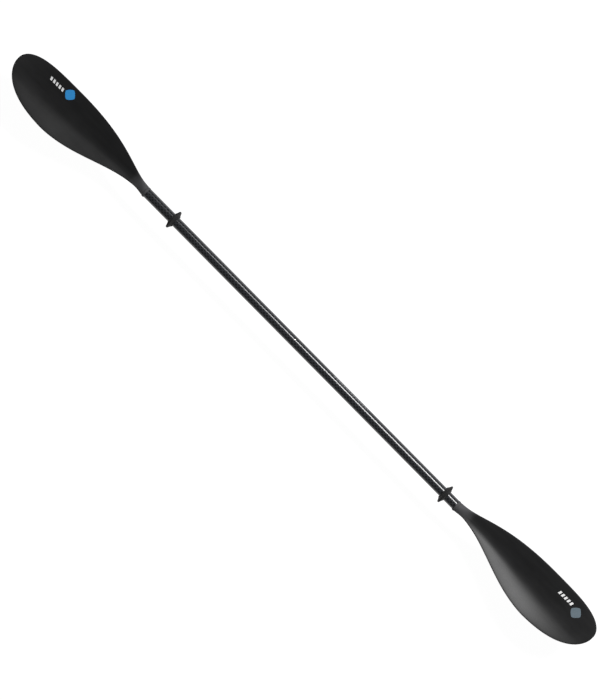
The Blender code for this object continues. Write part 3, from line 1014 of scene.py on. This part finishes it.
def build_rivet(side_name):
    node = f"{side_name}_blade_rivet"
    low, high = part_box(node)
    foot = SHAFT_R + GAP
    head_r = (high[0] - low[0]) / 2
    profile = [
        (RIVET_DEPTH, RIVET_R),
        (foot, RIVET_R),
        (foot, head_r - HEAD_EASE),
        (foot + HEAD_EDGE, head_r),
    ]
    for i in range(1, HEAD_STEPS):
        a = math.pi / 2 * i / HEAD_STEPS * HEAD_TURN
        profile.append((foot + HEAD_EDGE + HEAD_DOME * math.sin(a), head_r * math.cos(a)))
    profile += [(foot + height, head_r * share) for height, share in CRATER]
    bm = bmesh.new()
    upright(bm, profile, RIVET_STEPS, (low[0] + high[0]) / 2, math.pi)
    finish_piece(f"{side_name}_rivet_steel", bm, bright_steel, f"{side_name}_half", node)


build_rivet("left")
build_rivet("right")

# %% [markdown]
# ## Marks on the blades
# Both power faces carry a small white mark and a coloured badge near the tip. The maker's own are
# left out. In their place are a row of slanted bars and a plain rounded lozenge, cut from film
# that follows the curve of the face.

# %% Build the films
FILM_LIFT = 0.3 * MM
FILM_THICK = 0.2 * MM
BADGE_SHARES = (1.0, 0.8, 0.6, 0.4, 0.2, 0.03)  # rings inside the outline, as shares of it
BADGE_POINTS = 96
BADGE_POWER = 1.35  # 1 would be a plain lozenge and 2 a circle
BAR_SHARES = (1.0, 0.5, 0.05)
BAR_COUNT = 5
BAR_LEAN = 0.12  # of the distance from bar to bar
BAR_HALF = 0.30
BAR_REACH = 0.42  # of the row's width, to each side


def film(bm, hand, outline_points, shares):
    """A patch round the middle of its outline, as two skins that follow the power face."""
    middle_along = sum(p[0] for p in outline_points) / len(outline_points)
    middle_across = sum(p[1] for p in outline_points) / len(outline_points)
    rings = []
    for lift, order in ((FILM_LIFT, shares[::-1]), (FILM_LIFT + FILM_THICK, shares)):
        for share in order:
            ring = []
            for along, across in outline_points:
                x = mix(middle_along, along, share)
                y = mix(middle_across, across, share)
                ring.append((hand * (LIP_X + x), y, face_height(x, y, 1) + lift))
            rings.append(ring)
    loft(bm, rings)


def film_centre(node, hand):
    """Middle of a film's node as (distance from the lip, Y from the axis)."""
    low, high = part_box(node)
    return hand * (low[0] + high[0]) / 2 - LIP_X, (low[1] + high[1]) / 2 - AXIS.y


def build_badge(hand, side_name, finish):
    """The rounded lozenge."""
    node = f"{side_name}_blade_badge"
    along, across = film_centre(node, hand)
    low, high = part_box(node)
    half = (high[0] - low[0]) / 2
    points = []
    for a in circle(BADGE_POINTS):
        powers = abs(math.cos(a)) ** BADGE_POWER + abs(math.sin(a)) ** BADGE_POWER
        reach = half / powers ** (1 / BADGE_POWER)
        points.append((along + reach * math.cos(a), across + reach * math.sin(a)))
    bm = bmesh.new()
    film(bm, hand, points, BADGE_SHARES)
    finish_piece(f"{side_name}_badge_film", bm, finish, f"{side_name}_half", node)


def build_bars(hand, side_name):
    """The row of slanted bars, inside the stripe's box."""
    node = f"{side_name}_blade_stripe"
    along, across = film_centre(node, hand)
    low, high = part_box(node)
    length = high[0] - low[0]
    width = high[1] - low[1]
    pitch = length / BAR_COUNT
    lean = pitch * BAR_LEAN
    half = pitch * BAR_HALF
    corners = [(-half - lean, -1), (half - lean, -1), (half + lean, 1), (-half + lean, 1)]
    bm = bmesh.new()
    for i in range(BAR_COUNT):
        middle = along + (i - (BAR_COUNT - 1) / 2) * pitch
        points = [(middle + dx, across + dy * width * BAR_REACH) for dx, dy in corners]
        film(bm, hand, points, BAR_SHARES)
    finish_piece(f"{side_name}_bars_film", bm, white_film, f"{side_name}_half", node)


for hand, side_name, finish in ((-1, "left", blue_film), (1, "right", slate_film)):
    build_badge(hand, side_name, finish)
    build_bars(hand, side_name)

# %% [markdown]
# ## Hidden parts
# The sleeve's cap, the spring and the foam plugs keep the imported model's meshes, which are already
# true to size and stay inside the tubes. The cap and the plugs get their finish and smooth shading.
# The leaf spring bends as the button travels on the real paddle; here a still copy of its mesh takes
# the rolled steel finish and the imported one is hidden.

# %% Finish the hidden parts
HIDDEN = {
    "ferrule_end_cap": cap_plastic,
    "left_float_plug": foam,
    "right_float_plug": foam,
    "ferrule_float_plug": foam,
}
for name, finish in HIDDEN.items():
    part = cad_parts[name]
    part.data.materials.clear()
    part.data.materials.append(finish)
    part.data.shade_smooth()
    part.data.set_sharp_from_angle(angle=CRISP_ANGLE)
print("finished", sorted(HIDDEN))

# %% Copy the leaf spring
spring_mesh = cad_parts["button_spring"].data.copy()
spring_mesh.materials.clear()
spring_mesh.materials.append(spring_steel)
spring = bpy.data.objects.new("leaf_spring", spring_mesh)
bpy.context.scene.collection.objects.link(spring)
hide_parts("button_spring")
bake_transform(spring)
print(f"{spring.name}: {len(spring_mesh.vertices)} points")

# %% [markdown]
# ## Floor, light and camera
# A plain white floor lies under the paddle, low enough to stay clear of a blade that is turned on
# edge. One long soft box hangs above the narrow side of the blades and draws the thin bright line
# along the shaft. A dim sky fills the rest. The camera looks down on the power faces with a long
# lens and is rolled so that the paddle lies on the diagonal.

# %% Floor
FLOOR_DROP = 90 * MM
FLOOR_HALF = 40.0
FLOOR_PATCH = 400 * MM
WHITE = (1.0, 1.0, 1.0, 1.0)


def build_floor():
    """A paper sheet that glows a little, so that it stays white to its far edges."""
    made, tree, shader = start_material(
        "studio_floor", Roughness=0.9, Emission_Color=WHITE, Emission_Strength=0.97
    )
    tone = add(
        tree,
        "ShaderNodeValToRGB",
        sockets={"Fac": grain(tree, FLOOR_PATCH)},
        stops=two_tones("5c5c5c", "606060"),
    )
    tree.links.new(tone.outputs["Color"], shader.inputs["Base Color"])
    level = AXIS.z - FLOOR_DROP
    corners = []
    for x, y in ((-1, -1), (1, -1), (1, 1), (-1, 1)):
        corners.append((x * FLOOR_HALF, y * FLOOR_HALF, level))
    mesh = bpy.data.meshes.new("floor")
    mesh.from_pydata(corners, [], [(0, 1, 2, 3)])
    mesh.materials.append(made)
    floor = bpy.data.objects.new("floor", mesh)
    bpy.context.scene.collection.objects.link(floor)


build_floor()
print(f"floor {FLOOR_DROP / MM:.0f} mm under the shaft's axis")

# %% Lights
LIGHT_LEAN = math.radians(38)  # from straight above, towards the narrow side of the blades
LIGHT_FAR = 3.0
SKY_STRENGTH = 0.15


def soft_box(name, along_shaft, size, power):
    """An area lamp that faces the shaft's axis, with its long side along the shaft."""
    lamp = bpy.data.lights.new(name, "AREA")
    lamp.shape = "RECTANGLE"
    lamp.size, lamp.size_y = size
    lamp.energy = power
    light = bpy.data.objects.new(name, lamp)
    bpy.context.scene.collection.objects.link(light)
    side = Vector((1.0, 0.0, 0.0))
    back = Vector((0.0, math.sin(LIGHT_LEAN), math.cos(LIGHT_LEAN)))
    light.location = AXIS + side * along_shaft + back * LIGHT_FAR
    light.rotation_euler = Matrix((side, back.cross(side), back)).transposed().to_euler()
    print(f"{name}: {power} W, {along_shaft} m along the shaft")


# The second, dimmer lamp is the far end of the soft box, where its own tube fades.
soft_box("long_soft_box", 0.75, (1.9, 0.5), 118)
soft_box("soft_box_end", -0.45, (0.5, 0.5), 11)
world = bpy.data.worlds.new("dim_room")
world.use_nodes = True
sky = world.node_tree.nodes["Background"]
sky.inputs["Color"].default_value = WHITE
sky.inputs["Strength"].default_value = SKY_STRENGTH
bpy.context.scene.world = world
bpy.context.scene.view_settings.view_transform = "Standard"

# %% Camera
CAMERA_FAR = 5.58
CAMERA_TILT = math.radians(2.64)
CAMERA_ROLL = math.radians(45.32)
CAMERA_RIGHT = -1.9 * MM
CAMERA_UP = -5.1 * MM
LENS = 105.9
SENSOR = 36.0
back = Vector((math.sin(CAMERA_TILT), 0.0, math.cos(CAMERA_TILT)))
along = (Vector((1, 0, 0)) - back * back.x).normalized()
across = back.cross(along)
right = along * math.cos(CAMERA_ROLL) + across * math.sin(CAMERA_ROLL)
up = across * math.cos(CAMERA_ROLL) - along * math.sin(CAMERA_ROLL)
lens = bpy.data.cameras.new("camera")
lens.lens = LENS
lens.sensor_width = SENSOR
camera = bpy.data.objects.new("camera", lens)
bpy.context.scene.collection.objects.link(camera)
camera.rotation_euler = Matrix((right, up, back)).transposed().to_euler()
camera.location = AXIS + back * CAMERA_FAR + right * CAMERA_RIGHT + up * CAMERA_UP
bpy.context.scene.camera = camera
print("camera", [round(v, 3) for v in camera.location])
